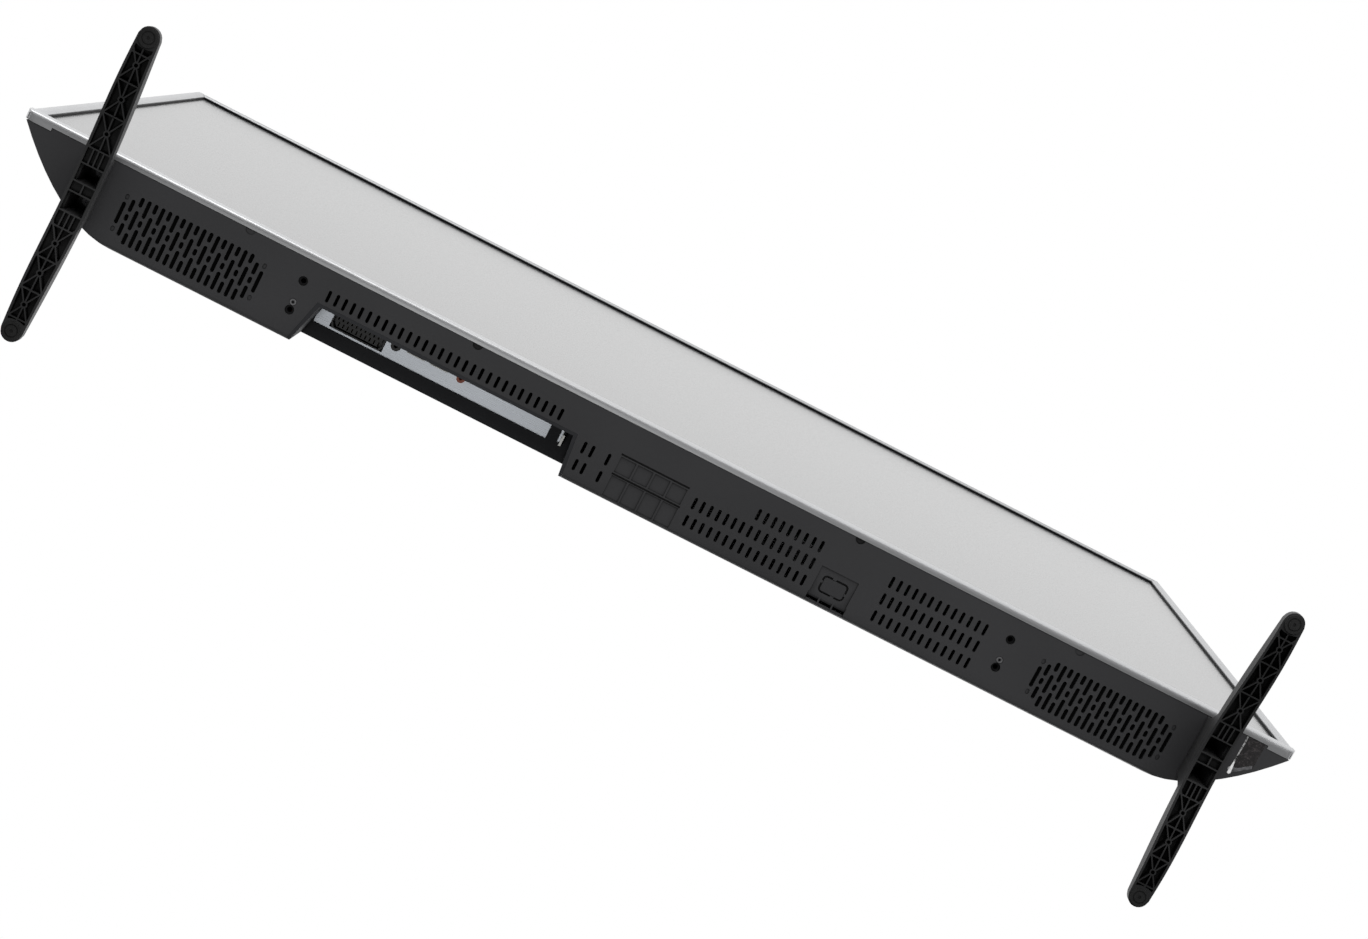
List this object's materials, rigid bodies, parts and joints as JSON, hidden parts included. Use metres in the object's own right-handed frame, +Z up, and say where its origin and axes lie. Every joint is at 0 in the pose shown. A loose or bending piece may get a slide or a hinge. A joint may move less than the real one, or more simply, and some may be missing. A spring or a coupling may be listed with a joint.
{
  "type": "flat screen television",
  "caption": "Flat screen television with a slim silver frame, a black rear cover with vents, speaker grilles and terminal bays, standing on bar feet at each end.",
  "frame": {"origin": "on the floor, under the middle of the television's bounding box", "axes": "+X to the right as the picture is seen, +Y from the picture to the back, +Z up"},
  "size_m": [1.08, 0.2546, 0.6835],
  "materials": {
    "silver_frame": "satin",
    "black_frame": "satin",
    "screen": "matte",
    "foam": "matte",
    "white_plastic": "matte",
    "film": "satin",
    "reflector": "satin",
    "led_board": "satin",
    "lens": "clear",
    "tray_steel": "galvanized",
    "board_green": "satin",
    "flex": "satin",
    "ribbon": "satin",
    "heatsink": "anodised",
    "heatsink_plain": "plain",
    "plate_steel": "zinc plated",
    "socket_black": "satin",
    "socket_orange": "satin",
    "socket_metal": "nickel plated",
    "winding": "taped",
    "capacitor": "sleeved",
    "speaker_plastic": "matte",
    "speaker_driver": "satin",
    "dust_screen": "matte",
    "wire": "satin",
    "button_plastic": "satin",
    "window_plastic": "smoked",
    "light_guide": "clear",
    "cover_plastic": "fine texture",
    "screw_steel": "black zinc",
    "post_metal": "zinc plated",
    "foot_plastic": "satin",
    "pad_rubber": "matte"
  },
  "bodies": {
    "set": {"bezel_bottom": "silver_frame", "bezel_top": "silver_frame", "bezel_left": "silver_frame", "bezel_right": "silver_frame", "front_frame": "black_frame", "lcd_panel": "screen", "panel_gasket": "foam", "mid_frame": "white_plastic", "optical_films": "film", "diffuser_plate": "film", "reflector_sheet": "reflector", "led_bars": "led_board", "led_lenses": "lens", "diffuser_posts": "white_plastic", "steel_tray": "tray_steel", "panel_driver_boards": "board_green", "panel_flex_tabs": "flex", "picture_board": "board_green", "picture_ribbons": "ribbon", "main_board": "board_green", "processor_heatsink": "heatsink", "terminal_plate": "plate_steel", "earth_clip": "plate_steel", "scart_socket": "socket_black", "audio_socket": "socket_black", "digital_audio_socket": "socket_orange", "hdmi_sockets": "socket_metal", "side_terminal_plate": "plate_steel", "card_slot": "socket_metal", "usb_sockets": "socket_metal", "headphone_socket": "socket_black", "network_socket": "socket_metal", "antenna_socket": "socket_metal", "power_board": "board_green", "transformers": "winding", "power_capacitors": "capacitor", "power_heatsinks": "heatsink_plain", "mains_inlet": "socket_black", "speaker_boxes": "speaker_plastic", "speaker_drivers": "speaker_driver", "dust_screens": "dust_screen", "wiring": "wire", "control_board": "board_green", "ir_board": "board_green", "ir_window": "window_plastic", "status_light_guide": "light_guide", "rear_cover": "cover_plastic", "terminal_recess": "cover_plastic", "side_recess": "cover_plastic", "cover_screws": "screw_steel", "wall_mount_posts": "post_metal", "spare_foot_plates": "screw_steel", "foot_brackets": "post_metal", "foot_left": "foot_plastic", "foot_right": "foot_plastic", "foot_pads": "pad_rubber", "foot_screws": "screw_steel"},
    "button": {"control_button": "button_plastic"}
  },
  "joints": [
    {"name": "button_press", "type": "slide", "parent": "set", "child": "button", "axis": [0, 0, 1], "range_m": [0, 0.001], "stiffness_N_per_m": 600, "springref_m": -0.0005}
  ]
}
